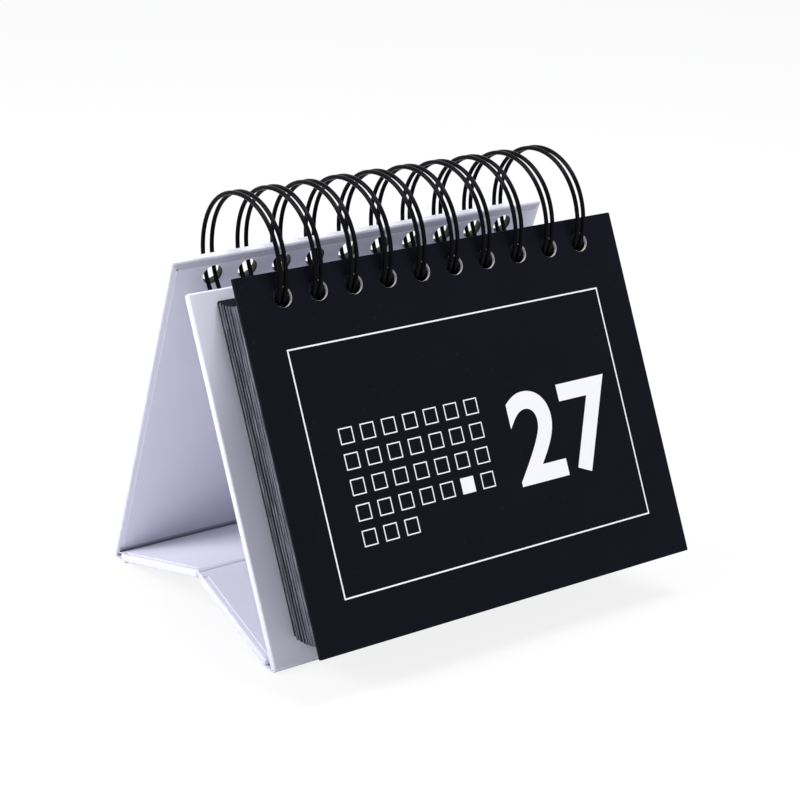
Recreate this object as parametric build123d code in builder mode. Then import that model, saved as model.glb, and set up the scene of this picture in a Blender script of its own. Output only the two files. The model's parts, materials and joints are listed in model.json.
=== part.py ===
from build123d import *

import os
from collections import namedtuple
from math import asin, atan2, cos, dist, hypot, pi, radians, sin, sqrt

# Wire-bound desk day calendar on a folding easel stand, in millimetres and degrees.
# A paper-wrapped greyboard stand (front board, rear board and a base folded up in the
# middle) carries a black twin-loop wire. A wrapped cover card and a year of daily
# leaves, in bundles, hang on the wire and lie on the front board.
# X is the width, Y runs from front to back and Z is up from the table.

# Twin-loop wire: two loops to the inch, closed to a ring behind the front board
pitch = 12.7
loop_count = 10
wire_size = 1.6
wire_sides = 6
leg_steps = 28
tip_steps = 6
bend_steps = 4
pair_spacing = 2.84
link_bend = 2.0
seam_gap = 0.75
seam_clearance = 0.5
end_stub = 2.0

# Stand boards: greyboard core, wrap turned in over the edges, liner over the turn-ins
side_margin = 9.0
board_core = 2.1
board_paper = 0.25
board_turn_in = 18.0
board_hole = 7.0
liner_side_inset = 2.0
liner_top_inset = 2.9
front_lean = 25.6
front_face_back = 11.0
front_top_fall = 5.5
rear_lean = 19.7
rear_face_back = 14.5
rear_hole_drop = 6.7

# Base: two flaps that meet at a raised crease, joined to the boards by paper hinges
crease_rise = 16.8
front_flap_length = 45.3
hinge_height = 2.2
hinge_gap = 3.0
hinge_clearance = 0.3
crease_gap_front = 3.2
crease_gap_rear = 0.8
crease_sink = 0.6
foot_width = 1.6

# Cover card: thin core in a printed wrap, with a plain sheet on its back
cover_height = 114.3
cover_core = 0.95
cover_paper = 0.15
cover_turn_in = 13.0
cover_back_inset = 1.5
cover_hole_drop = 7.8
cover_hole_fall = 13.9
cover_clearance = 16.0
sheet_hole = 6.4
hole_sides = 12

# Leaves: bundles of two months that step down and up along the ring as they lie on it
bundle_count = 6
bundle_thickness = 4.4
leaf_height = 105.3
leaf_hole_drop = 8.9
leaf_lift = 1.1
slip_gap = 0.1

# Widths: the leaves take one pitch for each loop, the boards and the cover a margin more
leaf_width = loop_count * pitch
board_width = leaf_width + 2 * side_margin

# Layers in depth, measured behind the ring's axis and square to the front board
board_thickness = board_core + 3 * board_paper
cover_thickness = cover_core + 3 * cover_paper
front_inner = front_face_back + board_thickness
leaf_pitch = bundle_thickness + slip_gap
leaf_front = front_face_back - bundle_count * leaf_pitch
cover_front = leaf_front - slip_gap - cover_thickness
cover_middle = cover_front + cover_thickness / 2
ring_radius = hypot(cover_middle, cover_hole_fall)


def ring_fall(depth):
    """How far below its axis the ring crosses a sheet that lies at this depth."""
    return sqrt(ring_radius**2 - depth**2)


def board_row(near_face):
    """Height of a board's hole row: the middle of the wire's slanting way through the board."""
    upper = sqrt((ring_radius + wire_size / 2) ** 2 - near_face**2)
    lower = sqrt((ring_radius - wire_size / 2) ** 2 - (near_face + board_thickness) ** 2)
    return -(upper + lower) / 2


# Ring height follows from the cover's size and the room under it
lean_sin, lean_cos = sin(radians(front_lean)), cos(radians(front_lean))
rear_sin, rear_cos = sin(radians(rear_lean)), cos(radians(rear_lean))
cover_top = cover_hole_drop - cover_hole_fall
cover_bottom = cover_top - cover_height
ring_height = cover_clearance + cover_front * lean_sin - cover_bottom * lean_cos

# Board ends along their slopes: the inner bottom corners stand on the hinge strips
strip = 2 * board_paper
rear_outer = rear_face_back + board_thickness
front_bottom = (strip - ring_height + front_inner * lean_sin) / lean_cos
rear_bottom = (strip - ring_height - rear_face_back * rear_sin) / rear_cos
front_row = board_row(front_face_back)
rear_row = board_row(rear_face_back)
rear_top = rear_row + rear_hole_drop

# The middle of the part's depth is the origin
front_reach = cover_front * lean_cos + cover_bottom * lean_sin
rear_reach = rear_outer * rear_cos - rear_bottom * rear_sin
ring_y = -(front_reach + rear_reach) / 2
ring_axis = Vector(0, ring_y, ring_height)

# Each plane has Y up its sheet and Z from the sheet's outer side to its inner side
front_plane = Plane(ring_axis, x_dir=(-1, 0, 0), z_dir=(0, lean_cos, -lean_sin))
rear_plane = Plane(ring_axis, x_dir=(1, 0, 0), z_dir=(0, -rear_cos, -rear_sin))

# Fold lines of the base, just off the inner faces of the two boards
front_fold_depth = front_inner + hinge_clearance
front_fold = front_plane.from_local_coords(
    (0, (hinge_height - ring_height + front_fold_depth * lean_sin) / lean_cos, front_fold_depth)
)
rear_fold_depth = rear_face_back - hinge_clearance
rear_fold = rear_plane.from_local_coords(
    (0, (hinge_height - ring_height - rear_fold_depth * rear_sin) / rear_cos, -rear_fold_depth)
)
front_flap_rise = asin((crease_rise - hinge_height) / front_flap_length)
crease = front_fold + Vector(0, cos(front_flap_rise), sin(front_flap_rise)) * front_flap_length
rear_flap_length = (crease - rear_fold).length
rear_flap_rise = atan2(crease.Z - rear_fold.Z, rear_fold.Y - crease.Y)
front_flap_plane = Plane(
    front_fold, x_dir=(1, 0, 0), z_dir=(0, -sin(front_flap_rise), cos(front_flap_rise))
)
rear_flap_plane = Plane(
    rear_fold, x_dir=(-1, 0, 0), z_dir=(0, sin(rear_flap_rise), cos(rear_flap_rise))
)

# A panel is a board in its wrap and liner; open edges are the ones the wrap turns over
Panel = namedtuple(
    "Panel",
    "plane width low high outer core paper turn_in side_inset end_inset open_low open_high row hole",
)


def stand_panel(plane, low, high, outer, open_high=False, row=None):
    """One panel of the stand, whose lower edge is always a paper hinge."""
    return Panel(
        plane, board_width, low, high, outer, board_core, board_paper, board_turn_in,
        liner_side_inset, liner_top_inset, False, open_high, row, board_hole,
    )


front_panel = stand_panel(
    front_plane, front_bottom, -front_top_fall, front_face_back, open_high=True, row=front_row
)
rear_panel = stand_panel(
    rear_plane, rear_bottom, rear_top, -rear_outer, open_high=True, row=rear_row
)
base_front_panel = stand_panel(
    front_flap_plane, hinge_gap, front_flap_length - crease_gap_front, -board_thickness
)
base_rear_panel = stand_panel(
    rear_flap_plane, hinge_gap, rear_flap_length - crease_gap_rear, -board_thickness
)
cover_panel = Panel(
    front_plane, board_width, cover_bottom, cover_top, cover_front, cover_core, cover_paper,
    cover_turn_in, cover_back_inset, cover_back_inset, True, True, -cover_hole_fall, sheet_hole,
)


def punch(diameter):
    """A row of holes, one for each loop of the wire, cut in the sheet being drawn."""
    with GridLocations(pitch, 0, loop_count, 1):
        RegularPolygon(diameter / 2, hole_sides, major_radius=False, mode=Mode.SUBTRACT)


def punched_sheet(panel, level, width, low, high):
    """A flat layer of a panel at a level above its plane, punched for the wire."""
    with BuildSketch(panel.plane.offset(level)) as sheet:
        with Locations((0, (low + high) / 2)):
            Rectangle(width, high - low)
        if panel.row is not None:
            with Locations((0, panel.row)):
                punch(panel.hole)
    return sheet.sketch


def ends(panel, inset):
    """The panel's low and high ends, drawn in by an inset where the edge is open."""
    return panel.low + inset * panel.open_low, panel.high - inset * panel.open_high


def board_core_of(panel):
    """The greyboard inside a panel."""
    with BuildPart() as core:
        blank = punched_sheet(
            panel, panel.outer + panel.paper, panel.width - 2 * panel.paper,
            *ends(panel, panel.paper),
        )
        extrude(blank, amount=panel.core)
    return core.part


def wrap_of(panel):
    """The paper round a panel: outer face, open edges and the strips turned in over them."""
    with BuildPart() as wrap:
        block = punched_sheet(panel, panel.outer, panel.width, panel.low, panel.high)
        extrude(block, amount=panel.core + 2 * panel.paper)
        add(board_core_of(panel), mode=Mode.SUBTRACT)
        window = punched_sheet(
            panel, panel.outer + panel.paper + panel.core, panel.width - 2 * panel.turn_in,
            *ends(panel, panel.turn_in),
        )
        extrude(window, amount=panel.paper, mode=Mode.SUBTRACT)
    return wrap.part


def liner_of(panel):
    """The inner sheet: sunk between the turned-in strips and lapped over them."""
    turn_in_level = panel.outer + panel.paper + panel.core
    with BuildPart() as liner:
        sunk = punched_sheet(
            panel, turn_in_level, panel.width - 2 * panel.turn_in, *ends(panel, panel.turn_in)
        )
        extrude(sunk, amount=panel.paper)
        lap = punched_sheet(
            panel, turn_in_level + panel.paper, panel.width - 2 * panel.side_inset,
            *ends(panel, panel.end_inset),
        )
        extrude(lap, amount=panel.paper)
    return liner.part


def paper_strip(points):
    """A band of hinge paper across the stand, drawn as its section in Y and Z."""
    with BuildPart() as band:
        with BuildSketch(Plane.YZ):
            with BuildLine():
                Polyline([(point.Y, point.Z) for point in points], close=True)
            make_face()
        extrude(amount=board_width / 2, both=True)
    return band.part


def foot_strip(panel, flap):
    """The wrap where it folds from a board under to its flap, pressed flat on the table."""
    inner = panel.plane.from_local_coords((0, panel.low, panel.outer + board_thickness))
    foot = inner - Vector(0, 0, strip)
    inward = Vector(0, flap.plane.y_dir.Y, 0).normalized()
    return paper_strip([
        panel.plane.from_local_coords((0, panel.low, panel.outer)),
        inner,
        flap.plane.from_local_coords((0, flap.low, flap.outer + strip)),
        flap.plane.from_local_coords((0, flap.low, flap.outer)),
        foot + inward * foot_width / 2,
        foot - inward * foot_width / 2,
        panel.plane.from_local_coords((0, panel.low - strip, panel.outer)),
    ])


def crease_strip():
    """The paper across the crease, a little below the two flaps' upper faces."""
    front_end = base_front_panel.high
    rear_end = base_rear_panel.high + slip_gap
    return paper_strip([
        front_flap_plane.from_local_coords((0, front_end, -crease_sink)),
        rear_flap_plane.from_local_coords((0, rear_end, -crease_sink)),
        rear_flap_plane.from_local_coords((0, rear_end, -crease_sink - strip)),
        front_flap_plane.from_local_coords((0, front_end, -crease_sink - strip)),
    ])


# Wire: angles run round the ring from straight down the leaves, positive to the back
seam_angle = asin((front_inner + seam_clearance) / ring_radius)
link_centre = pair_spacing / 2 + link_bend
tip_reach = sqrt((link_centre + wire_size + seam_gap) ** 2 - link_centre**2)
tip_angle = seam_angle + tip_reach / ring_radius
leg_turn = 2 * pi - (tip_angle - seam_angle)
middle_loop = (loop_count - 1) / 2
loop_places = [(index - middle_loop) * pitch for index in range(loop_count)]


def ring_point(angle, across, reach=0.0):
    """A point of the wire: round the ring by an angle, across the width, then along the ring."""
    outward = front_plane.z_dir * sin(angle) - front_plane.y_dir * cos(angle)
    along = front_plane.z_dir * cos(angle) + front_plane.y_dir * sin(angle)
    return ring_axis + outward * ring_radius + along * reach + Vector(across, 0, 0)


def hairpin(place):
    """One loop: its left leg round the ring, the half circle at its tip and its right leg back."""
    half = pair_spacing / 2
    for step in range(leg_steps + 1):
        yield ring_point(seam_angle - leg_turn * step / leg_steps, place - half)
    for step in range(1, tip_steps):
        swing = pi * step / tip_steps
        yield ring_point(tip_angle, place - half * cos(swing), -half * sin(swing))
    for step in range(leg_steps + 1):
        yield ring_point(tip_angle + leg_turn * step / leg_steps, place + half)


def link_bends(place, side):
    """The quarter bend between a loop's leg and the spine, from the leg outwards."""
    for step in range(1, bend_steps + 1):
        swing = pi / 2 * step / bend_steps
        bend = pair_spacing / 2 + link_bend * (1 - cos(swing))
        yield ring_point(seam_angle, place + side * bend, link_bend * sin(swing))


def wire_route(places):
    """The wire's middle line in one piece, from a short end through every loop to the other."""
    route = [ring_point(seam_angle, places[0] - link_centre - end_stub, link_bend)]
    for place in places:
        route += reversed(list(link_bends(place, -1)))
        route += hairpin(place)
        route += link_bends(place, 1)
    route.append(ring_point(seam_angle, places[-1] + link_centre + end_stub, link_bend))
    return route


def least_gap(route, cuts=4):
    """Smallest clear space between two stretches of wire more than a hairpin's bend apart."""
    points, reach = [], [0.0]
    for start, end in zip(route, route[1:]):
        for cut in range(cuts):
            points.append(tuple(start + (end - start) * (cut / cuts)))
            reach.append(reach[-1] + (end - start).length / cuts)
    apart = pi * pair_spacing / 2
    least = min(
        dist(points[first], points[second])
        for first in range(len(points))
        for second in range(first + 1, len(points))
        if reach[second] - reach[first] > apart
    )
    return least - wire_size


with BuildPart() as wire_binding:
    with BuildLine() as route_line:
        Polyline(*wire_route(loop_places))
    with BuildSketch(Plane(route_line.line @ 0, z_dir=route_line.line % 0)):
        RegularPolygon(wire_size / 2, wire_sides, major_radius=False)
    sweep(transition=Transition.RIGHT)


def leaf_row(depth):
    """Height of a leaf's hole row: on the ring, hanging at the front and lifted at the back."""
    share = (depth - leaf_front) / (front_face_back - leaf_front)
    return -ring_fall(depth) + leaf_lift * (2 * share - 1)


def leaf_bundle(index):
    """Two months of leaves: a stack whose sheets shift along the wire from front to back."""
    front = leaf_front + index * leaf_pitch
    back = front + bundle_thickness
    shift = front_plane.z_dir * bundle_thickness
    shift += front_plane.y_dir * (leaf_row(back) - leaf_row(front))
    with BuildPart() as leaves:
        with BuildSketch(front_plane.offset(front)):
            with Locations((0, leaf_row(front) + leaf_hole_drop - leaf_height / 2)):
                Rectangle(leaf_width, leaf_height)
            with Locations((0, leaf_row(front))):
                punch(sheet_hole)
        extrude(amount=shift.length, dir=shift)
    return leaves.part


pieces = {
    "front_board": board_core_of(front_panel),
    "front_wrap": wrap_of(front_panel),
    "front_liner": liner_of(front_panel),
    "rear_board": board_core_of(rear_panel),
    "rear_wrap": wrap_of(rear_panel),
    "rear_liner": liner_of(rear_panel),
    "base_front_board": board_core_of(base_front_panel),
    "base_front_wrap": wrap_of(base_front_panel),
    "base_front_liner": liner_of(base_front_panel),
    "base_rear_board": board_core_of(base_rear_panel),
    "base_rear_wrap": wrap_of(base_rear_panel),
    "base_rear_liner": liner_of(base_rear_panel),
    "front_hinge_strip": foot_strip(front_panel, base_front_panel),
    "crease_hinge_strip": crease_strip(),
    "rear_hinge_strip": foot_strip(rear_panel, base_rear_panel),
    "wire_binding": wire_binding.part,
    "cover_board": board_core_of(cover_panel),
    "cover_print": wrap_of(cover_panel),
    "cover_back_paper": liner_of(cover_panel),
}
for index in range(bundle_count):
    pieces[f"leaf_bundle_{index + 1}"] = leaf_bundle(index)

os.makedirs("parts", exist_ok=True)
for name, piece in pieces.items():
    piece.label = name
    export_step(piece, f"parts/{name}.step")

print(f"ring axis at y {ring_y:.3f}, z {ring_height:.3f}, radius {ring_radius:.3f}")
print(f"front fold {front_fold}, rear fold {rear_fold}, crease {crease}")
print(f"least gap of the wire to itself {least_gap(wire_route(loop_places[:2])):.3f} mm")
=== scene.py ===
"""Wire-bound desk day calendar on a folding easel stand, dressed for the camera.

The sections follow the calendar as it is put together: boards, wraps and liners of the stand,
its paper hinges, the leaves, the cover card and its print, the wire, then the studio.
"""

import json
import math

import bpy
import numpy as np
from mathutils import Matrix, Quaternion, Vector, geometry


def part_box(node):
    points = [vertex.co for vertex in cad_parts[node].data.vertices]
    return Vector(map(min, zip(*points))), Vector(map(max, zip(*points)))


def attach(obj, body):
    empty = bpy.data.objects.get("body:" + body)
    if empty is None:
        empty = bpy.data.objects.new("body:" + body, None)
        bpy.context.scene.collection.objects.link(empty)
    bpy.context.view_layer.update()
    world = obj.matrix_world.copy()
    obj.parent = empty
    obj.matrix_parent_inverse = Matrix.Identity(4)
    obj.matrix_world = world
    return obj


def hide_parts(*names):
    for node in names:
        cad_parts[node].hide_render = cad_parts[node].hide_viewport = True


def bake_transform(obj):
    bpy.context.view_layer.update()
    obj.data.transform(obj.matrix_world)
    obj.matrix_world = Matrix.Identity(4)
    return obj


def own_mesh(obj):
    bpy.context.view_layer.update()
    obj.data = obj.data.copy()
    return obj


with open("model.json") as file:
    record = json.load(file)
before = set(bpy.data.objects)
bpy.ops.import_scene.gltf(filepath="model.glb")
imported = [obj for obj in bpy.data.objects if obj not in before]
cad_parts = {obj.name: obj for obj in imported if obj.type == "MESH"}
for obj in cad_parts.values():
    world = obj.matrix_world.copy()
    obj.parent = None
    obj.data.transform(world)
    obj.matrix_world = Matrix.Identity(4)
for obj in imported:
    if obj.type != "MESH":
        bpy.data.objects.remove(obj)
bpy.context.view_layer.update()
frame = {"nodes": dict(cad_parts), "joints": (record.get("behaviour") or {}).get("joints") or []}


# Greyboard cores. Stiff board pulped from waste paper, grey-brown with darker flecks,
# die-cut to size and punched for the wire; one is glued inside each panel of the stand, and
# a thinner one inside the cover.


class Shade:
    """A socket of a material that takes part in arithmetic: each operator adds a Math node."""

    def __init__(self, tree, socket=None):
        self.tree = tree
        self.socket = socket

    def node(self, kind, settings=None, sockets=None, output=0):
        """Adds a node: its settings first, then a value or a link for each socket named."""
        made = self.tree.nodes.new("ShaderNode" + kind)
        for key, value in (settings or {}).items():
            setattr(made, key, value)
        for key, value in (sockets or {}).items():
            if isinstance(value, Shade):
                self.tree.links.new(value.socket, made.inputs[key])
            else:
                made.inputs[key].default_value = value
        return Shade(self.tree, made.outputs[output])

    def calculate(self, operation, first, second):
        return self.node("Math", {"operation": operation}, {0: first, 1: second})

    def __add__(self, other):
        return self.calculate("ADD", self, other)

    def __sub__(self, other):
        return self.calculate("SUBTRACT", self, other)

    def __rsub__(self, other):
        return self.calculate("SUBTRACT", other, self)

    def __mul__(self, other):
        return self.calculate("MULTIPLY", self, other)

    def __gt__(self, other):
        return self.calculate("GREATER_THAN", self, other)

    def __lt__(self, other):
        return self.calculate("LESS_THAN", self, other)

    __radd__ = __add__
    __rmul__ = __mul__

    def mix(self, first, second):
        """Colour that goes from the first to the second as this value goes from 0 to 1."""
        return self.node("Mix", {"data_type": "RGBA"}, {0: self, 6: first, 7: second}, output=2)

    def noise(self, scale, detail=2.0, draw=(1, 1, 1), lean=0.0):
        """Cloudy values over the piece, with a cell of about one part in scale of a metre.

        The cells may be drawn out along axes that lean by an angle about X.
        """
        place = self.node("TexCoord", output="Object")
        place = self.node(
            "Mapping", {"vector_type": "TEXTURE"},
            {"Vector": place, "Rotation": (lean, 0, 0), "Scale": draw},
        )
        return self.node("TexNoise", {}, {"Vector": place, "Scale": scale, "Detail": detail})

    def mark(self, name):
        """Value of one of the piece's own attributes."""
        return self.node("Attribute", {"attribute_name": name}, output="Fac")


def new_finish(name, **constants):
    """A material, its shader maths and its surface, with the sockets that stay constant set."""
    material = bpy.data.materials.new(name)
    material.use_nodes = True
    surface = material.node_tree.nodes["Principled BSDF"]
    for socket, value in constants.items():
        surface.inputs[socket.replace("_", " ").title().replace("Ior", "IOR")].default_value = value
    return material, Shade(material.node_tree), surface


def connect(surface, shade, colour, roughness, height, depth):
    """Feeds the surface: its colour, its roughness, and a bump of the given depth in metres."""
    bump = shade.node("Bump", {}, {"Height": height, "Distance": depth, "Strength": 1.0})
    for name, value in {"Base Color": colour, "Roughness": roughness, "Normal": bump}.items():
        shade.tree.links.new(value.socket, surface.inputs[name])


GREYBOARD = (0.235, 0.195, 0.172, 1)
GREYBOARD_PALE = (0.315, 0.27, 0.242, 1)
GREYBOARD_FLECK = (0.12, 0.095, 0.08, 1)

greyboard, shade, surface = new_finish("greyboard", specular_ior_level=0.2)
pulp = shade.noise(900, 4)
fleck = shade.noise(2600, 1)
connect(
    surface, shade,
    colour=((fleck > 0.63) * 0.8).mix(pulp.mix(GREYBOARD, GREYBOARD_PALE), GREYBOARD_FLECK),
    roughness=pulp * 0.2 + 0.75, height=pulp, depth=0.0001,
)
for name in ("front_board", "rear_board", "base_front_board", "base_rear_board", "cover_board"):
    core = frame["nodes"][name]
    core.data.materials.clear()
    core.data.materials.append(greyboard)


# Front board of the stand. Smooth white paper is glued round the greyboard, turned in over
# its free edges and rounded by them; a liner sheet on the back covers the turned-in edges.

joints = {joint["name"]: joint for joint in frame["joints"]}
ring = np.array(joints["stand_fold"]["pos_m"])
ring_radius = 0.021805
wire_size = 0.0016
loop_pitch = 0.0127
loop_count = 10
loop_places = (np.arange(loop_count) - (loop_count - 1) / 2) * loop_pitch

front_lean = math.radians(25.6)
front_axes = np.array([
    (-1, 0, 0),
    (0, math.sin(front_lean), math.cos(front_lean)),
    (0, math.cos(front_lean), -math.sin(front_lean)),
])


def extent(node, origin, axes):
    """Lowest and highest of a solid's points, less the origin and turned into the axes."""
    mesh = frame["nodes"][node].data
    points = np.empty(3 * len(mesh.vertices))
    mesh.vertices.foreach_get("co", points)
    local = (points.reshape(-1, 3) - origin) @ axes.T
    return local.min(0), local.max(0)


def ring_fall(depth):
    """How far below its axis the ring crosses a sheet at this depth: the circle's formula."""
    return np.sqrt(ring_radius**2 - depth**2)


def board_row(outer, inner):
    """Height of a board's hole row: the middle of the wire's slanting way between its faces."""
    near, far = sorted((abs(outer), abs(inner)))
    upper = math.sqrt((ring_radius + wire_size / 2) ** 2 - near**2)
    lower = math.sqrt((ring_radius - wire_size / 2) ** 2 - far**2)
    return -(upper + lower) / 2


def punched_slab(low, high, rounding, corner, row=None, hole=0.0, hole_steps=40):
    """Flat board or sheet with soft edges and a row of round holes, in its own axes.

    The edge is a profile of a flat lip and two quarter rounds, carried round a rectangle with
    round corners; each hole carries the same profile, pressed to a sharper edge, round a
    circle. The two sides are triangulated between the end rings. Returns the points, the
    faces, and which faces are rim and which are a hole's wall inside its edge.
    """
    lip, hole_edge, round_steps, corner_steps = 1.25, 0.45, 5, 5
    swing = np.linspace(0, np.pi / 2, round_steps if rounding else 1)
    inset = rounding * np.concatenate([[lip], 1 - np.sin(swing)])
    level = low[2] + rounding * np.concatenate([[0], 1 - np.cos(swing)])
    if not rounding:
        inset, level = inset[1:], level[1:]
    inset = np.concatenate([inset, inset[::-1]])
    level = np.concatenate([level, (low[2] + high[2]) - level[::-1]])
    rings = len(level)

    quarter = np.linspace(0, np.pi / 2, corner_steps)
    angle = (quarter + np.arange(4)[:, None] * np.pi / 2).ravel()
    signs = np.repeat([(1, 1), (-1, 1), (-1, -1), (1, -1)], corner_steps, axis=0)
    middle, half = (low[:2] + high[:2]) / 2, (high[:2] - low[:2]) / 2
    spoke = np.stack([np.cos(angle), np.sin(angle)], axis=-1)
    rim = middle + signs * (half - corner) + (corner - inset)[:, None, None] * spoke
    rim = np.dstack([rim, np.broadcast_to(level[:, None], rim.shape[:2])])
    around = rim.shape[1]

    places = loop_places if row is not None else np.zeros(0)
    turn = np.arange(hole_steps) / hole_steps * 2 * np.pi
    radius = hole / 2 + hole_edge * inset[:, None, None]
    across = places[None, :, None] + radius * np.cos(turn)
    upward = (row or 0.0) + radius * np.sin(turn) + 0 * across
    holes = np.stack([across, upward, np.broadcast_to(level[:, None, None], across.shape)], axis=-1)
    points = np.concatenate([rim.reshape(-1, 3), holes.reshape(-1, 3)])

    step, along = np.meshgrid(np.arange(rings - 1), np.arange(around), indexing="ij")
    ahead = (along + 1) % around
    rim_faces = np.stack([
        step * around + along, step * around + ahead,
        (step + 1) * around + ahead, (step + 1) * around + along,
    ], axis=-1).reshape(-1, 4)
    shape = np.arange(rings - 1), np.arange(len(places)), np.arange(hole_steps)
    step, which, along = np.meshgrid(*shape, indexing="ij")
    first = rings * around + (step * len(places) + which) * hole_steps
    above = first + len(places) * hole_steps
    ahead = (along + 1) % hole_steps
    wall_faces = np.stack([first + along, above + along, above + ahead, first + ahead], axis=-1)
    wall_faces = wall_faces.reshape(-1, 4)

    per_side = len(places) * hole_steps
    lower = np.concatenate([np.arange(around), rings * around + np.arange(per_side)])
    lift = np.concatenate([
        np.full(around, (rings - 1) * around), np.full(per_side, (rings - 1) * per_side),
    ])
    owner = np.concatenate([np.full(around, -1), np.repeat(np.arange(len(places)), hole_steps)])
    loops = [np.arange(around)]
    loops += [around + number * hole_steps + np.arange(hole_steps) for number in range(len(places))]
    edges = np.concatenate([np.stack([loop, np.roll(loop, -1)], axis=-1) for loop in loops])
    flat = [Vector(pair) for pair in points[lower, :2]]
    found = geometry.delaunay_2d_cdt(flat, edges.tolist(), [], 0, 1e-9)
    source = np.array([origin[0] for origin in found[3]])
    side = source[np.array(found[2])]
    ids = owner[side]
    side = side[(ids[:, 0] < 0) | (ids[:, 0] != ids[:, 1]) | (ids[:, 1] != ids[:, 2])]
    upper_faces = (lower + lift)[side]
    lower_faces = lower[side][:, ::-1]

    faces = rim_faces.tolist() + wall_faces.tolist() + upper_faces.tolist() + lower_faces.tolist()
    rest = len(faces) - len(rim_faces) - len(wall_faces)
    inside = np.ones((rings - 1, len(places) * hole_steps))
    if rounding:
        inside[[0, 1, -2, -1]] = 0.0
    marks = {
        "rim": np.repeat([1.0, 0.0, 0.0], [len(rim_faces), len(wall_faces), rest]),
        "wall": np.concatenate([np.zeros(len(rim_faces)), inside.ravel(), np.zeros(rest)]),
    }
    return points, faces, marks


def add_piece(name, points, faces, finish, body=None, stands_for=(), marks=None, crease=30):
    """Puts a surface into the scene: its points, its faces, its finish and what it rides on."""
    mesh = bpy.data.meshes.new(name)
    mesh.from_pydata(points.tolist(), [], faces)
    for mark, values in (marks or {}).items():
        layer = mesh.attributes.new(mark, "FLOAT", "FACE")
        layer.data.foreach_set("value", values.astype(np.float32))
    mesh.shade_smooth()
    mesh.set_sharp_from_angle(angle=math.radians(crease))
    mesh.materials.append(finish)
    piece = bpy.data.objects.new(name, mesh)
    bpy.context.scene.collection.objects.link(piece)
    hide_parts(*stands_for)
    if body:
        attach(piece, body)
    return piece


def white_paper(name, tone, fibre_depth, painted_edge_highlight):
    """Uncoated white paper: soft mottling, fine fibres, and bare board where a hole cuts it.

    The bare board is painted near black, as painted shade in the holes; a fold mark paints shade
    into folds, and the last argument paints a highlight along the rims.
    """
    material, shade, surface = new_finish(name, specular_ior_level=0.35)
    mottle = shade.noise(45, 3)
    fibre = shade.noise(2400, 3)
    darker = tuple(0.93 * part for part in tone)
    paper = (mottle * 0.5 + fibre * 0.5).mix((*darker, 1), (*tone, 1))
    # Rims go paler in random worn patches, and by an even painted highlight whose strength is the last
    # argument.
    wear_and_painted_highlight = shade.mark("rim") * ((shade.noise(420, 2) > 0.57) * 0.25 + painted_edge_highlight)
    paper = wear_and_painted_highlight.mix(paper, (0.93, 0.93, 0.96, 1))
    # Painted shade in a fold: the paper goes dark violet-grey as the fold mark rises.
    paper = shade.mark("fold").mix(paper, (0.17, 0.165, 0.22, 1))
    # Hole walls: bare board painted near black, much darker than the greyboard, as painted shade inside
    # the holes.
    cut = shade.noise(1500, 3).mix((0.012, 0.011, 0.012, 1), (0.032, 0.029, 0.029, 1))
    connect(
        surface, shade, colour=shade.mark("wall").mix(paper, cut),
        roughness=fibre * 0.16 + 0.5, height=fibre, depth=fibre_depth,
    )
    return material


wrap_paper = white_paper("white_wrap", (0.805, 0.80, 0.885), 0.00003, 0.0)
# The liner's rims carry a painted highlight of strength 0.4.
liner_paper = white_paper("white_liner", (0.77, 0.765, 0.86), 0.00004, 0.4)
# The turned-in wrap is the wrap's own paper in a darker copy: painted shade.
turned_in_painted_shade_paper = white_paper("turned_in_wrap_painted_shade", (0.59, 0.585, 0.675), 0.00003, 0.0)

EDGE_ROUNDING = 0.0006
EDGE_CORNER = 0.0008
END_PAPER = 0.00025
FLAP_END = 0.0012
LINER_SHOWN = 0.00028
LINER_ROUNDING = 0.00013
LINER_CORNER = 0.0004
BOARD_HOLE = 0.0069
LEAST_TURN_IN = 0.001
TURNED_IN = 0.00016
LAP = 0.0001
MITRE_TOP = 0.0004
MITRE_GAP = 0.0007
MITRE_SINK = 0.0002
MITRE_SHOWN = 0.00002


def turned_in_edge(high, liner_high):
    """The wrap's top edge where it is folded to the inside: a strip with slanting ends.

    The outline goes from just inside the board's corners to the corners of the liner that
    covers the strip's lower edge; it is drawn out by the thickness of the paper.
    """
    outer, inner = high[0] - MITRE_TOP, liner_high[0] - LAP
    foot, top = liner_high[1] - LAP, high[1] - EDGE_ROUNDING
    outline = np.array([(-inner, foot), (inner, foot), (outer, top), (-outer, top)])
    level = np.array([high[2] - LAP, high[2] + TURNED_IN])
    points = np.dstack([np.broadcast_to(outline, (2, 4, 2)), np.repeat(level, 4).reshape(2, 4, 1)])
    sides = [[side, (side + 1) % 4, 4 + (side + 1) % 4, 4 + side] for side in range(4)]
    return points.reshape(-1, 3), [[3, 2, 1, 0], [4, 5, 6, 7], *sides]


def mitre_gap(liner_high):
    """The bare board in the open point of the mitre, at a corner of the liner: a round stud.

    A circle of points round the corner, drawn out to just above the turned-in paper.
    """
    sides = 12
    turn = np.arange(sides) / sides * 2 * np.pi
    corner = np.array([-liner_high[0], liner_high[1] + MITRE_GAP / 4])
    points = np.empty((2, sides, 3))
    points[..., :2] = corner + MITRE_GAP / 2 * np.stack([np.cos(turn), np.sin(turn)], axis=-1)
    points[..., 2] = liner_high[2] + np.array([[-MITRE_SINK], [MITRE_SHOWN]])
    under = np.arange(sides)
    over = under + sides
    walls = np.stack([under, np.roll(under, -1), np.roll(over, -1), over], axis=-1)
    return points.reshape(-1, 3), [under[::-1].tolist(), over.tolist(), *walls.tolist()]


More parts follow.
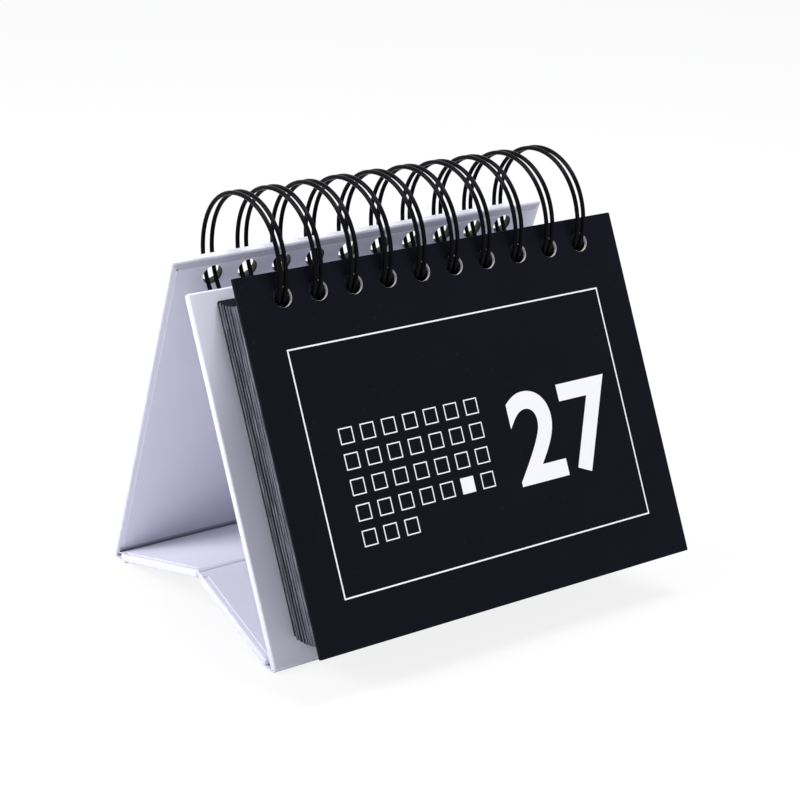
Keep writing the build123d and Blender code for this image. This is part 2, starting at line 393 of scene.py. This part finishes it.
def panel(name, body, origin, axes, row=None):
    """A panel's wrapped board, its liner and the edge turned in at its top, if it has one.

    The sizes are those of the panel's solids; at a hinged end the wrap covers the board.
    """
    low, high = extent(f"{name}_wrap", origin, axes)
    liner_low, liner_high = extent(f"{name}_liner", origin, axes)
    top_free = high[1] - liner_high[1] > LEAST_TURN_IN
    low[1] -= END_PAPER if row is not None else FLAP_END
    high[1] += 0 if top_free else END_PAPER
    points, faces, marks = punched_slab(low, high, EDGE_ROUNDING, EDGE_CORNER, row, BOARD_HOLE)
    add_piece(
        f"{name}_wrapped_board", origin + points @ axes, faces, wrap_paper, body,
        [f"{name}_wrap"], marks,
    )
    if top_free:
        points, faces = turned_in_edge(high, liner_high)
        add_piece(
            f"{name}_turned_in_edge", origin + points @ axes, faces, turned_in_painted_shade_paper, body,
        )
        points, faces = mitre_gap(liner_high)
        add_piece(f"{name}_mitre_gap", origin + points @ axes, faces, greyboard, body)
    liner_low[2] = liner_high[2] - LINER_SHOWN
    points, faces, marks = punched_slab(
        liner_low, liner_high, LINER_ROUNDING, LINER_CORNER, row, BOARD_HOLE,
    )
    add_piece(
        f"{name}_liner_sheet", origin + points @ axes, faces, liner_paper, body,
        [f"{name}_liner"], marks,
    )


front_low, front_high = extent("front_liner", ring, front_axes)
front_wrap_low = extent("front_wrap", ring, front_axes)[0]
panel("front", "front_stand", ring, front_axes, board_row(front_wrap_low[2], front_high[2]))


# Rear board of the stand. The same wrapped board; it leans forward and is punched near its
# top edge, where it hangs on the back of the wire and turns about the wire's middle.

rear_lean = math.radians(19.7)
rear_axes = np.array([
    (1, 0, 0),
    (0, -math.sin(rear_lean), math.cos(rear_lean)),
    (0, -math.cos(rear_lean), -math.sin(rear_lean)),
])
rear_low, rear_high = extent("rear_liner", ring, rear_axes)
rear_wrap_low = extent("rear_wrap", ring, rear_axes)[0]
panel("rear", "rear_panel", ring, rear_axes, board_row(rear_wrap_low[2], rear_high[2]))


# Base of the stand. Two wrapped flaps, one hinged to each board, meet in a raised crease
# that locks the stand open and folds up between the boards when it is closed.

BOARD_CORE = 0.0021
front_fold = np.array(joints["base_front_fold"]["pos_m"])
rear_fold = np.array(joints["base_rear_fold"]["pos_m"])


def flap_axes(node, side):
    """Axes of a flap: across, from its fold towards the crease, and up out of its face.

    The slope follows from the box round the flap's tilted board, whose thickness is known.
    """
    low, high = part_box(node)
    run, rise = high.y - low.y, high.z - low.z
    length = math.sqrt(run**2 + rise**2 - BOARD_CORE**2)
    slope = math.atan2(rise * length - run * BOARD_CORE, run * length - rise * BOARD_CORE)
    return np.array([
        (side, 0, 0),
        (0, side * math.cos(slope), math.sin(slope)),
        (0, -side * math.sin(slope), math.cos(slope)),
    ])


base_front_axes = flap_axes("base_front_board", 1)
base_rear_axes = flap_axes("base_rear_board", -1)
panel("base_front", "base_front", front_fold, base_front_axes)
panel("base_rear", "base_rear", rear_fold, base_rear_axes)


# Paper hinges. Where there is no board between them, wrap and liner are pressed together and
# fold: under each board's lower edge, where the stand rests, and across the base's crease.

BAND_THICKNESS = 0.0005
BAND_INSET = 0.0003
LINE_STEPS, WIDTH_STEPS = 49, 61
SWELL_REACH = 0.0022


def paper_band(section, half_width, thickness, end_swell=0.0):
    """A band of paper: a line in Y and Z carried across the width, with its own thickness.

    The line is sampled evenly and softened by a weighted mean of three neighbours. The upper
    side is that curve, and the underside is the curve moved by the thickness against its
    normal. Towards the ends the thickness may swell, by a bell curve of the distance from the
    end, as folded paper does.
    """
    section = np.array(section)
    reach = np.concatenate([[0], np.cumsum(np.hypot(*np.diff(section, axis=0).T))])
    fine = np.linspace(0, reach[-1], LINE_STEPS)
    line = np.stack([np.interp(fine, reach, section[:, part]) for part in (0, 1)], -1)
    kernel = np.array([1, 2, 1]) / 4
    padded = np.concatenate([2 * line[:1] - line[1:2], line, 2 * line[-1:] - line[-2:-1]])
    line = np.stack([np.convolve(padded[:, part], kernel, "valid") for part in (0, 1)], -1)
    way = np.gradient(line, axis=0)
    way /= np.linalg.norm(way, axis=1, keepdims=True)
    normal = np.stack([-way[:, 1], way[:, 0]], -1)
    across = half_width * np.sin(np.linspace(-np.pi / 2, np.pi / 2, WIDTH_STEPS))
    from_end = half_width - np.abs(across)
    bow = np.sin(np.linspace(0, np.pi, len(line))) ** 0.5
    swell = end_swell * np.exp(-((from_end / SWELL_REACH) ** 2))[:, None] * bow
    under = line - normal * (thickness + swell)[..., None]
    count = 2 * len(line)
    points = np.empty((len(across), count, 3))
    points[..., 0] = across[:, None]
    points[..., 1:] = np.concatenate([under, np.broadcast_to(line[::-1], under.shape)], axis=1)
    step, along = np.meshgrid(np.arange(len(across) - 1), np.arange(count), indexing="ij")
    ahead = (along + 1) % count
    faces = np.stack([
        step * count + along, (step + 1) * count + along,
        (step + 1) * count + ahead, step * count + ahead,
    ], axis=-1).reshape(-1, 4).tolist()
    far = (len(across) - 1) * count
    faces += [list(range(count))[::-1], list(range(far, far + count))]
    return points.reshape(-1, 3), faces


def local_point(origin, axes, up, deep):
    """A point of a panel's section, as its Y and Z."""
    return (origin + np.array([0, up, deep]) @ axes)[1:]


FOOT_BACK, FOOT_HALF = 0.0011, 0.0008
base_half_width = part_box("base_front_wrap")[1].x - BAND_INSET
flap_front_low = extent("base_front_wrap", front_fold, base_front_axes)[0]
flap_rear_low = extent("base_rear_wrap", rear_fold, base_rear_axes)[0]


def foot_band(name, node, fold, board, flap):
    """The paper under a board: down its lower edge, flat on the table, and on to its flap."""
    outer = local_point(*board)
    foot_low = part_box(node)[0]
    inward = np.sign(fold[1] - outer[0])
    flat = fold[1] - inward * FOOT_BACK
    level = foot_low.z + BAND_THICKNESS
    section = [
        outer, (flat - inward * FOOT_HALF, level), (flat + inward * FOOT_HALF, level),
        local_point(*flap),
    ]
    if inward < 0:
        section = section[::-1]
    points, faces = paper_band(section, base_half_width, BAND_THICKNESS)
    points[:, 2] = np.maximum(points[:, 2], foot_low.z)
    band = add_piece(name, points, faces, wrap_paper, None, [node])
    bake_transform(band)


FOLD_DEPTH, FOLD_TURN = 0.9, 0.8
FOLD_SHADE = 0.0013
FOLD_INSET = 0.0004
LINER_PAPER = 0.00025


def inner_band(name, fold, board, flap):
    """The liner where it goes on from a board to its flap, in a hollow curve above the fold.

    Its fold mark paints shade on it, darkest at the bottom of the hollow.
    """
    start, end = local_point(*board), local_point(*flap)
    hollow = (start + end) / 2 + (fold[1:] - (start + end) / 2) * FOLD_DEPTH
    section = [start + (hollow - start) * share for share in (0, FOLD_TURN, 1)]
    section += [end + (hollow - end) * share for share in (FOLD_TURN, 0)]
    if start[0] > end[0]:
        section = section[::-1]
    points, faces = paper_band(section, base_half_width - FOLD_INSET, LINER_PAPER)
    away = np.linalg.norm(points[[face[0] for face in faces], 1:] - hollow, axis=1)
    # Painted shade: a bell curve of the distance from the bottom of the hollow.
    marks = {"fold": np.exp(-((away / FOLD_SHADE) ** 2))}
    band = add_piece(name, points, faces, liner_paper, marks=marks)
    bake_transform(band)


TUCK_UP, TUCK_DEEP = 0.0002, 0.0009
FLAP_TUCK = 0.001
foot_band(
    "front_hinge_paper", "front_hinge_strip", front_fold,
    (ring, front_axes, front_wrap_low[1] + TUCK_UP, front_wrap_low[2] + TUCK_DEEP),
    (front_fold, base_front_axes, flap_front_low[1] + FLAP_TUCK, flap_front_low[2]),
)
foot_band(
    "rear_hinge_paper", "rear_hinge_strip", rear_fold,
    (ring, rear_axes, rear_wrap_low[1] + TUCK_UP, rear_wrap_low[2] + TUCK_DEEP),
    (rear_fold, base_rear_axes, flap_rear_low[1] + FLAP_TUCK, flap_rear_low[2]),
)

BOARD_LAP, FLAP_LAP = 0.0035, 0.0004
ABOVE_LINER = 0.00002
inner_band(
    "front_fold_liner", front_fold,
    (ring, front_axes, front_low[1] + BOARD_LAP, front_high[2] + ABOVE_LINER),
    (front_fold, base_front_axes, flap_front_low[1] + FLAP_LAP, ABOVE_LINER),
)
inner_band(
    "rear_fold_liner", rear_fold,
    (ring, rear_axes, rear_low[1] + BOARD_LAP, rear_high[2] + ABOVE_LINER),
    (rear_fold, base_rear_axes, flap_rear_low[1] + FLAP_LAP, ABOVE_LINER),
)

# Across the crease the paper keeps two pressed lines, one at each side of the fold. Each side
# is written as distances from the crease and heights above the flap, in millimetres.
CREASE_PAPER, CREASE_SWELL = 0.0003, 0.0013
FRONT_SIDE = [(3.7, -0.02), (1.8, -0.02), (1.4, -0.36), (1.0, 0.02), (0.2, 0.14)]
REAR_SIDE = [(0.1, 0.12), (0.5, -0.38), (0.9, -0.02), (1.4, -0.02)]
front_along, rear_along = base_front_axes[1, 1:], base_rear_axes[1, 1:]
front_length, rear_length = np.linalg.solve(
    np.stack([front_along, -rear_along], axis=-1), rear_fold[1:] - front_fold[1:]
)
crease_line = [
    local_point(front_fold, base_front_axes, front_length - back / 1000, level / 1000)
    for back, level in FRONT_SIDE
]
crease_line += [
    local_point(rear_fold, base_rear_axes, rear_length - back / 1000, level / 1000)
    for back, level in REAR_SIDE
]
points, faces = paper_band(crease_line, base_half_width, CREASE_PAPER, CREASE_SWELL)
crease_paper = add_piece(
    "crease_hinge_paper", points, faces, liner_paper, "base_front",
    ["crease_hinge_strip"],
)
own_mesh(crease_paper)


# Leaves. A year of thin sheets printed dark to their edges, cut and punched in bundles; they
# hang on the wire and shift along it, so the block's ends step and its edges show as streaks.

LEAF_SIZE = np.array([0.127, 0.1053])
LEAF_HOLE = 0.0069
LEAF_HOLE_DROP = 0.0089
LEAF_CORNER = 0.0004
LEAF_LIFT = 0.0011
SHEETS = 12
SHEET_SHARE = 0.94
SHEET_STRAY, BUNDLE_STRAY, SHEET_RISE = 0.00007, 0.0001, 0.00005
DARK_TRIM = 0.0004

# For each bundle from the front: how many sheets stand flush, and which sheets are dark;
# the dark sheets' near-black edges are painted shade in the grooves between the books
BOOKS = [1, 1, 4, 4, 4, 4]
DARK_SHEETS = [[0, 11], [0, 11], [0, 5, 11], [0, 4, 8], [0, 3, 4, 8], [0, 4, 8, 9, 10, 11]]

bundle_names = sorted(name for name in frame["nodes"] if name.startswith("leaf_bundle"))
bundle_extents = [extent(name, ring, front_axes) for name in bundle_names]
block_front = bundle_extents[0][0][2]
block_back = bundle_extents[-1][1][2]

leaf_paper, shade, surface = new_finish("leaf_paper", specular_ior_level=0.12)
streak = shade.noise(2200, 2, draw=(1, 0.7, 16), lean=-front_lean)
sheet_tone = shade.mark("tone")
edge = sheet_tone.mix((0.004, 0.004, 0.006, 1), (0.16, 0.165, 0.205, 1))
edge = ((streak > 0.55) * sheet_tone * 0.7).mix(edge, (0.34, 0.345, 0.40, 1))
edge = ((streak < 0.40) * 0.6).mix(edge, (0.02, 0.02, 0.028, 1))
page_grain = shade.noise(1800, 2)
page = page_grain.mix((0.018, 0.018, 0.024, 1), (0.026, 0.026, 0.033, 1))
connect(
    surface, shade, colour=shade.mark("rim").mix(page, edge),
    roughness=page_grain * 0.15 + 0.45, height=page_grain, depth=0.00002,
)


def leaf_row(depth):
    """Height of the leaves' hole row: on the ring, hung low in front and lifted behind."""
    share = (depth - block_front) / (block_back - block_front)
    return -ring_fall(depth) + LEAF_LIFT * (2 * share - 1)


def leaf_stack(front, back, seed, book, dark):
    """A bundle as a stack of sheets: one punched sheet, shifted to each sheet's own place.

    The sheets are knocked up into small books, each flush at the ring's height at its own
    depth; they stray by a fraction of a millimetre, the whole bundle by a little more. The
    dark sheets are narrower and shorter, which opens grooves between the books. Their edges
    go near black, as painted shade in those grooves.
    """
    drawn = np.random.default_rng(seed)
    pitch = (back - front) / SHEETS
    low = np.array([-LEAF_SIZE[0] / 2, LEAF_HOLE_DROP - LEAF_SIZE[1], 0])
    high = np.array([LEAF_SIZE[0] / 2, LEAF_HOLE_DROP, pitch * SHEET_SHARE])
    points, faces, marks = punched_slab(low, high, 0, LEAF_CORNER, 0.0, LEAF_HOLE, hole_steps=20)
    depth = front + pitch * np.arange(SHEETS)
    book_depth = (depth + pitch / 2).reshape(-1, book).mean(axis=1).repeat(book)
    place = np.stack([
        drawn.normal(0, SHEET_STRAY, SHEETS) + drawn.uniform(-BUNDLE_STRAY, BUNDLE_STRAY),
        leaf_row(book_depth) + drawn.normal(0, SHEET_RISE, SHEETS),
        depth,
    ], axis=-1)
    trim = np.ones((SHEETS, 3))
    trim[dark, :2] = 1 - DARK_TRIM / LEAF_SIZE
    stack = points * trim[:, None] + place[:, None]
    shift = len(points) * np.arange(SHEETS)
    all_faces = [[corner + step for corner in face] for step in shift.tolist() for face in faces]
    tone = drawn.uniform(0.35, 1.0, SHEETS)
    # Near-black edges on the dark sheets: painted shade in the grooves between the books.
    tone[dark] = 0.0
    stack_marks = {mark: np.tile(values, SHEETS) for mark, values in marks.items()}
    stack_marks["tone"] = np.repeat(tone, len(faces))
    return stack.reshape(-1, 3), all_faces, stack_marks


bundles = zip(bundle_names, bundle_extents, BOOKS, DARK_SHEETS)
for number, (name, (low, high), book, dark) in enumerate(bundles, 1):
    points, faces, marks = leaf_stack(low[2], high[2], number, book, dark)
    add_piece(
        f"leaves_stack_{number}", ring + points @ front_axes, faces, leaf_paper,
        f"leaves_{number}", [name], marks,
    )


# Cover card. Thin board wrapped in a sheet printed solid black with a satin varnish, lined
# with a plain black sheet at its back; the punch leaves the raw board showing in its holes,
# its colour painted far paler than the board as painted light on the holes' walls.

COVER_HOLE = 0.0063
COVER_FALL = 0.0139
COVER_ROUNDING, COVER_CORNER = 0.0002, 0.0004
BACK_SHOWN, BACK_ROUNDING = 0.00018, 0.00006

cover_black, shade, surface = new_finish("cover_black", specular_ior_level=0.04)
ink = shade.noise(70, 3)
tooth = shade.noise(3200, 2)
dust = shade.noise(1300, 0)
black = ink.mix((0.0040, 0.0043, 0.0078, 1), (0.0052, 0.0056, 0.0100, 1))
black = ((dust > 0.83) * 0.1).mix(black, (0.09, 0.09, 0.10, 1))
# Hole walls: raw board, its colour painted much paler than the greyboard, as painted light where the
# lamps reach the walls.
raw_board_and_painted_light = shade.noise(1500, 3).mix((0.62, 0.52, 0.49, 1), (0.97, 0.92, 0.91, 1))
connect(
    surface, shade, colour=shade.mark("wall").mix(black, raw_board_and_painted_light),
    roughness=tooth * 0.14 + ink * 0.08 + 0.38, height=tooth, depth=0.000012,
)
cover_low, cover_high = extent("cover_print", ring, front_axes)
points, faces, marks = punched_slab(
    cover_low, cover_high, COVER_ROUNDING, COVER_CORNER, -COVER_FALL, COVER_HOLE,
)
add_piece(
    "cover_wrapped_card", ring + points @ front_axes, faces, cover_black, "cover",
    ["cover_print"], marks,
)

back_black, shade, surface = new_finish("cover_back_black", specular_ior_level=0.1)
grain = shade.noise(2200, 3)
connect(
    surface, shade, colour=grain.mix((0.014, 0.014, 0.018, 1), (0.022, 0.022, 0.027, 1)),
    roughness=grain * 0.15 + 0.55, height=grain, depth=0.00002,
)
back_low, back_high = extent("cover_back_paper", ring, front_axes)
back_low[2] = back_high[2] - BACK_SHOWN
points, faces, marks = punched_slab(
    back_low, back_high, BACK_ROUNDING, COVER_CORNER, -COVER_FALL, COVER_HOLE,
)
add_piece(
    "cover_back_sheet", ring + points @ front_axes, faces, back_black, "cover",
    ["cover_back_paper"], marks,
)


# Cover print. Opaque white ink, screened on the black wrap before it is glued: a thin plain
# frame, a month of small squares with one day filled in, and that day's number in bold.

FRAME_MARGIN = 0.0125
FRAME_BOTTOM = 0.0150
FRAME_TOP_DROP = 0.0235
LINE = 0.00048
BAR_CORNER = 0.00008
INK_FILM = 0.00003

white_ink, shade, surface = new_finish("white_ink", specular_ior_level=0.3)
screen = shade.noise(2600, 2)
connect(
    surface, shade, colour=screen.mix((0.86, 0.86, 0.87, 1), (0.92, 0.92, 0.925, 1)),
    roughness=screen * 0.1 + 0.42, height=screen, depth=0.00001,
)
ink_level = cover_low[2] - INK_FILM


def ink_bars(name, corners):
    """Flat bars of ink on the cover, each a thin slab between two corners of its face."""
    all_points, all_faces = [], []
    for left, bottom, right, top in corners:
        low = np.array([left, bottom, ink_level])
        high = np.array([right, top, ink_level + 2 * INK_FILM])
        points, faces, _ = punched_slab(low, high, 0, BAR_CORNER)
        shift = sum(len(done) for done in all_points)
        all_points.append(points)
        all_faces += [[corner + shift for corner in face] for face in faces]
    points = np.concatenate(all_points)
    add_piece(name, ring + points @ front_axes, all_faces, white_ink, "cover")


def outline_bars(left, bottom, right, top, line):
    """The four bars of an open rectangle."""
    return [
        (left, bottom, right, bottom + line), (left, top - line, right, top),
        (left, bottom + line, left + line, top - line),
        (right - line, bottom + line, right, top - line),
    ]


frame_left, frame_right = cover_low[0] + FRAME_MARGIN, cover_high[0] - FRAME_MARGIN
frame_bottom, frame_top = cover_low[1] + FRAME_BOTTOM, cover_high[1] - FRAME_TOP_DROP
ink_bars("cover_frame_line", outline_bars(frame_left, frame_bottom, frame_right, frame_top, LINE))

SQUARE = 0.0050
SQUARE_PITCH = 0.0078
SQUARE_LINE = 0.75 * LINE
GRID_INSET, GRID_RISE = 0.0110, 0.0135
WEEK, DAYS, DAY = 7, 31, 27
grid_left = frame_right - GRID_INSET
grid_top = frame_bottom + GRID_RISE + (DAYS - 1) // WEEK * SQUARE_PITCH + SQUARE
squares = []
for day in range(DAYS):
    right = grid_left - day % WEEK * SQUARE_PITCH
    top = grid_top - day // WEEK * SQUARE_PITCH
    if day + 1 == DAY:
        squares.append((right - SQUARE, top - SQUARE, right, top))
    else:
        squares += outline_bars(right - SQUARE, top - SQUARE, right, top, SQUARE_LINE)
ink_bars("cover_month_squares", squares)

NUMBER_HEIGHT = 0.030
NUMBER_INSET = 0.0265
NUMBER_DROP = 0.0165
lettering = bpy.data.curves.new("day_number", "FONT")
lettering.body = str(DAY)
lettering.align_x = "CENTER"
lettering.space_character = 1.05
lettering.offset = 0.022
lettering.extrude = 0.5
writer = bpy.data.objects.new("day_number", lettering)
bpy.context.scene.collection.objects.link(writer)
bpy.context.view_layer.update()
solid_number = bpy.data.meshes.new_from_object(
    writer.evaluated_get(bpy.context.evaluated_depsgraph_get())
)
bpy.data.objects.remove(writer)
number_points = np.empty(3 * len(solid_number.vertices))
solid_number.vertices.foreach_get("co", number_points)
number_points = number_points.reshape(-1, 3)
number_low, number_high = number_points.min(0), number_points.max(0)
scale = NUMBER_HEIGHT / (number_high[1] - number_low[1])
number_points -= (number_low + number_high) / 2
number_points *= (-scale, scale, -2 * INK_FILM)
number_points += (frame_left + NUMBER_INSET, grid_top - NUMBER_DROP, ink_level + INK_FILM)
number_points, weld = np.unique(number_points.round(8), axis=0, return_inverse=True)
number_faces = [weld.ravel()[list(face.vertices)].tolist() for face in solid_number.polygons]
add_piece(
    "cover_day_number", ring + number_points @ front_axes, number_faces, white_ink,
    "cover",
)


# Twin-loop wire. One length of steel wire with a glossy black nylon coat, bent into hairpins;
# the pairs are closed round to their own spine behind the front board after the leaves go on.

WIRE_SHOWN = 0.0014
PAIR_AT_SPINE = 0.0019
PAIRS_IN_FRONT = np.linspace(0.0022, 0.0028, loop_count)
PAIRS_BEHIND = np.linspace(0.0032, 0.0027, loop_count)
FRONT_PARTING, REAR_PARTING = (0.15, 0.45), (0.42, 0.70)
LINK_BEND = 0.0020
STUB = 0.0020
SEAM_CLEARANCE = 0.0005
TIP_REACH = 0.00585
FLATTENED = 0.0006
LOOP_LEANS = np.random.default_rng(3).normal(0, 0.0001, loop_count)
LEG_STEPS, TIP_STEPS, BEND_STEPS, ROUND_STEPS = 84, 18, 8, 16

seam = math.asin((front_high[2] + SEAM_CLEARANCE) / ring_radius)
link_centre = PAIR_AT_SPINE / 2 + LINK_BEND
tip = seam + TIP_REACH / ring_radius


def smooth_step(value, start, end):
    """Rises from 0 at the start to 1 at the end by three squares less two cubes."""
    share = np.clip((value - start) / (end - start), 0, 1)
    return share**2 * (3 - 2 * share)


def wire_route():
    """The wire's middle line as three rows: angle round the ring, place across, reach along it.

    Each loop runs down its left leg (angle falls by one turn less the gap from seam to tip),
    round a half circle at the tip, back up its right leg, then by two quarter bends over to
    the next loop.
    On the way the two legs part by smooth steps, and the loop leans to a side by its own
    fraction of a millimetre, most at the far side of the ring.
    """
    turn = 2 * np.pi - (tip - seam)
    leg = np.linspace(0, 1, LEG_STEPS)
    swing = np.linspace(0, np.pi, TIP_STEPS)[1:-1]
    bend = np.linspace(0, np.pi / 2, BEND_STEPS)[1:]
    out = np.stack([
        seam + 0 * bend, link_centre - LINK_BEND * np.cos(bend), LINK_BEND * np.sin(bend),
    ])
    back = np.stack([seam + 0 * bend, loop_pitch - out[1, ::-1], out[2, ::-1]])
    lead = np.array([[seam], [-link_centre - STUB], [LINK_BEND]])
    tail = np.array([[seam], [link_centre + STUB], [LINK_BEND]])
    first = np.array([[0], [loop_places[0]], [0]])
    rows = [lead + first, np.stack([back[0], -out[1, ::-1], back[2]]) + first]
    for place, front, behind, lean in zip(loop_places, PAIRS_IN_FRONT, PAIRS_BEHIND, LOOP_LEANS):
        pair = PAIR_AT_SPINE + (front - PAIR_AT_SPINE) * smooth_step(leg, *FRONT_PARTING)
        half = (pair + (behind - front) * smooth_step(leg, *REAR_PARTING)) / 2
        down = np.stack([seam - turn * leg, -half, 0 * leg])
        around = np.stack([tip + 0 * swing, -half[-1] * np.cos(swing), -half[-1] * np.sin(swing)])
        loop = np.concatenate([down, around, (down * [[1], [-1], [1]])[:, ::-1]], axis=1)
        loop[1] += place + lean * (1 - np.cos(loop[0] - seam)) / 2
        step = np.array([[0], [place], [0]])
        rows += [loop, out + step, (back if place < loop_places[-1] else tail) + step]
    return np.concatenate(rows, axis=1)


def wire_tube(route):
    """A round tube along the route: a circle carried by the outward and sideways directions.

    The ring is a circle, pressed a little flatter on top by the cosine's fourth power.
    """
    angle, across, reach = route
    outward = np.sin(angle)[:, None] * front_axes[2] - np.cos(angle)[:, None] * front_axes[1]
    along = np.cos(angle)[:, None] * front_axes[2] + np.sin(angle)[:, None] * front_axes[1]
    radius = ring_radius - FLATTENED * np.maximum(outward[:, 2], 0) ** 4
    middle = ring + radius[:, None] * outward + reach[:, None] * along
    middle = middle + across[:, None] * np.array([1.0, 0, 0])
    way = np.gradient(middle, axis=0)
    way /= np.linalg.norm(way, axis=1, keepdims=True)
    sideways = np.cross(way, outward)
    turn = np.arange(ROUND_STEPS) / ROUND_STEPS * 2 * np.pi
    points = middle[:, None] + WIRE_SHOWN / 2 * (
        np.cos(turn)[None, :, None] * outward[:, None] + np.sin(turn)[None, :, None] * sideways[:, None]
    )
    count = len(middle)
    step, around = np.meshgrid(np.arange(count - 1), np.arange(ROUND_STEPS), indexing="ij")
    ahead = (around + 1) % ROUND_STEPS
    faces = np.stack([
        step * ROUND_STEPS + around, (step + 1) * ROUND_STEPS + around,
        (step + 1) * ROUND_STEPS + ahead, step * ROUND_STEPS + ahead,
    ], axis=-1).reshape(-1, 4).tolist()
    last = (count - 1) * ROUND_STEPS
    faces += [list(range(ROUND_STEPS)), list(range(last, last + ROUND_STEPS))[::-1]]
    marks = {"cut": np.repeat([0.0, 1.0], [len(faces) - 2, 2])}
    return points.reshape(-1, 3), faces, marks


black_coat, shade, surface = new_finish("black_coat", specular_ior_level=0.045)
flow = shade.noise(240, 2)
pit = shade.noise(1200, 2)
coat = flow.mix((0.0018, 0.0018, 0.0030, 1), (0.0032, 0.0032, 0.0048, 1))
steel = pit.mix((0.45, 0.45, 0.46, 1), (0.62, 0.62, 0.63, 1))
connect(
    surface, shade, colour=shade.mark("cut").mix(coat, steel),
    roughness=flow * 0.1 + 0.16, height=pit, depth=0.000002,
)
points, faces, marks = wire_tube(wire_route())
add_piece(
    "twin_loop_wire", points, faces, black_coat, "front_stand", ["wire_binding"],
    marks, crease=60,
)


# Studio. A pale floor that the camera sees as white paper, a broad soft light from behind the
# calendar's left side, another high above it, and an even, slightly blue room.

FLOOR_HALF = 2.0
FLOOR_GLOW = 0.85
WHITE_RAYS = ("Is Camera Ray", "Is Glossy Ray", "Is Transmission Ray")
floor_mesh = bpy.data.meshes.new("floor")
floor_mesh.from_pydata(
    [(-FLOOR_HALF, -FLOOR_HALF, 0), (FLOOR_HALF, -FLOOR_HALF, 0),
     (FLOOR_HALF, FLOOR_HALF, 0), (-FLOOR_HALF, FLOOR_HALF, 0)], [], [(0, 1, 2, 3)],
)
floor = bpy.data.objects.new("floor", floor_mesh)
bpy.context.scene.collection.objects.link(floor)
pale, shade, surface = new_finish("pale_floor", roughness=0.9, base_color=(0.9, 0.9, 0.91, 1))
seen = sum(shade.node("LightPath", output=ray) for ray in WHITE_RAYS)
glow = shade.node("Emission", {}, {"Color": (1, 1, 1, 1), "Strength": 1.0})
bare = Shade(shade.tree, surface.outputs[0])
floor_mix = shade.node("MixShader", {}, {0: seen * FLOOR_GLOW, 1: bare, 2: glow})
pale.node_tree.links.new(floor_mix.socket, pale.node_tree.nodes["Material Output"].inputs["Surface"])
floor_mesh.materials.append(pale)

room = bpy.data.worlds.new("room")
bpy.context.scene.world = room
room.use_nodes = True
air = Shade(room.node_tree)
seen = sum(air.node("LightPath", output=ray) for ray in WHITE_RAYS)
walls = air.node("Background", {}, {"Color": (0.86, 0.87, 1.0, 1), "Strength": 0.51})
paper = air.node("Background", {}, {"Color": (1, 1, 1, 1), "Strength": 1.0})
backdrop = air.node("MixShader", {}, {0: seen, 1: walls, 2: paper})
room.node_tree.links.new(backdrop.socket, room.node_tree.nodes["World Output"].inputs["Surface"])


def soft_light(name, place, aim, size, power):
    """A square soft box at a place, turned towards the point it lights."""
    box = bpy.data.lights.new(name, "AREA")
    box.shape, box.size, box.energy = "SQUARE", size, power
    lamp = bpy.data.objects.new(name, box)
    lamp.location = place
    lamp.rotation_mode = "QUATERNION"
    lamp.rotation_quaternion = (Vector(aim) - Vector(place)).to_track_quat("-Z", "Y")
    bpy.context.scene.collection.objects.link(lamp)


middle = (0, 0, 0.06)
soft_light("key_left", (-0.78, 0.34, 0.75), middle, 0.6, 8.8)
soft_light("fill_above", (0.22, -0.16, 1.25), middle, 0.5, 11.2)

# The photograph's frame is square; the place, aim and roll were fitted to the board corners,
# the punched holes and the rings.
CAMERA_PLACE = Vector((-0.37906, -0.51866, 0.30335))
CAMERA_AIM = Vector((0.5524, 0.75603, -0.35111))
CAMERA_ROLL = math.radians(1.655)
lens = bpy.data.cameras.new("camera")
lens.lens, lens.sensor_width = 94.87, 36.0
lens.clip_start, lens.clip_end = 0.01, 20
camera = bpy.data.objects.new("camera", lens)
camera.location = CAMERA_PLACE
camera.rotation_mode = "QUATERNION"
camera.rotation_quaternion = CAMERA_AIM.to_track_quat("-Z", "Y") @ Quaternion((0, 0, 1), CAMERA_ROLL)
bpy.context.scene.collection.objects.link(camera)
bpy.context.scene.camera = camera
bpy.context.scene.view_settings.view_transform = "Standard"
